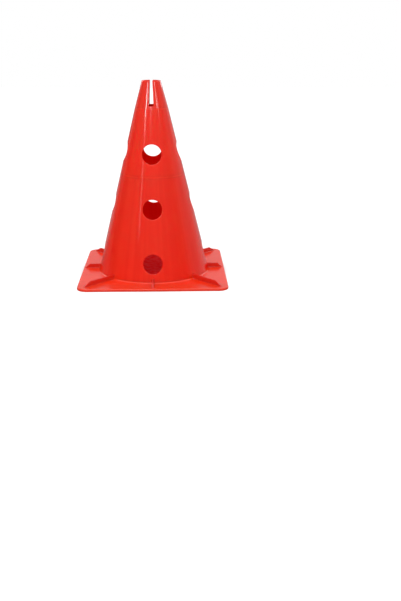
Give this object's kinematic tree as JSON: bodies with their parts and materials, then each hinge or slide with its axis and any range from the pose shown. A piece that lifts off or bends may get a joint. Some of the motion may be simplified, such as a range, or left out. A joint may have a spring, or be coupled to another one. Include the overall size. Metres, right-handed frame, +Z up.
{
  "type": "training cone",
  "caption": "Hollow sports training cone on a square ribbed base, with pole holes on every side at several heights and a slot through its tip for a hoop.",
  "frame": {"origin": "middle of the square base, on the ground", "axes": "+Z up along the cone's axis; the slot in the tip runs front to back along Y, and the front faces -Y"},
  "size_m": [0.292, 0.292, 0.38],
  "materials": {
    "moulded_plastic": "glossy injection moulded polyethylene, orange red all through"
  },
  "bodies": {
    "root": {"base_plate": "moulded_plastic", "lower_wall": "moulded_plastic", "upper_wall": "moulded_plastic", "slotted_tip": "moulded_plastic", "side_rib_front": "moulded_plastic", "side_rib_right": "moulded_plastic", "side_rib_back": "moulded_plastic", "side_rib_left": "moulded_plastic", "corner_rib_front_left": "moulded_plastic", "corner_rib_front_right": "moulded_plastic", "corner_rib_back_right": "moulded_plastic", "corner_rib_back_left": "moulded_plastic"}
  },
  "joints": []
}
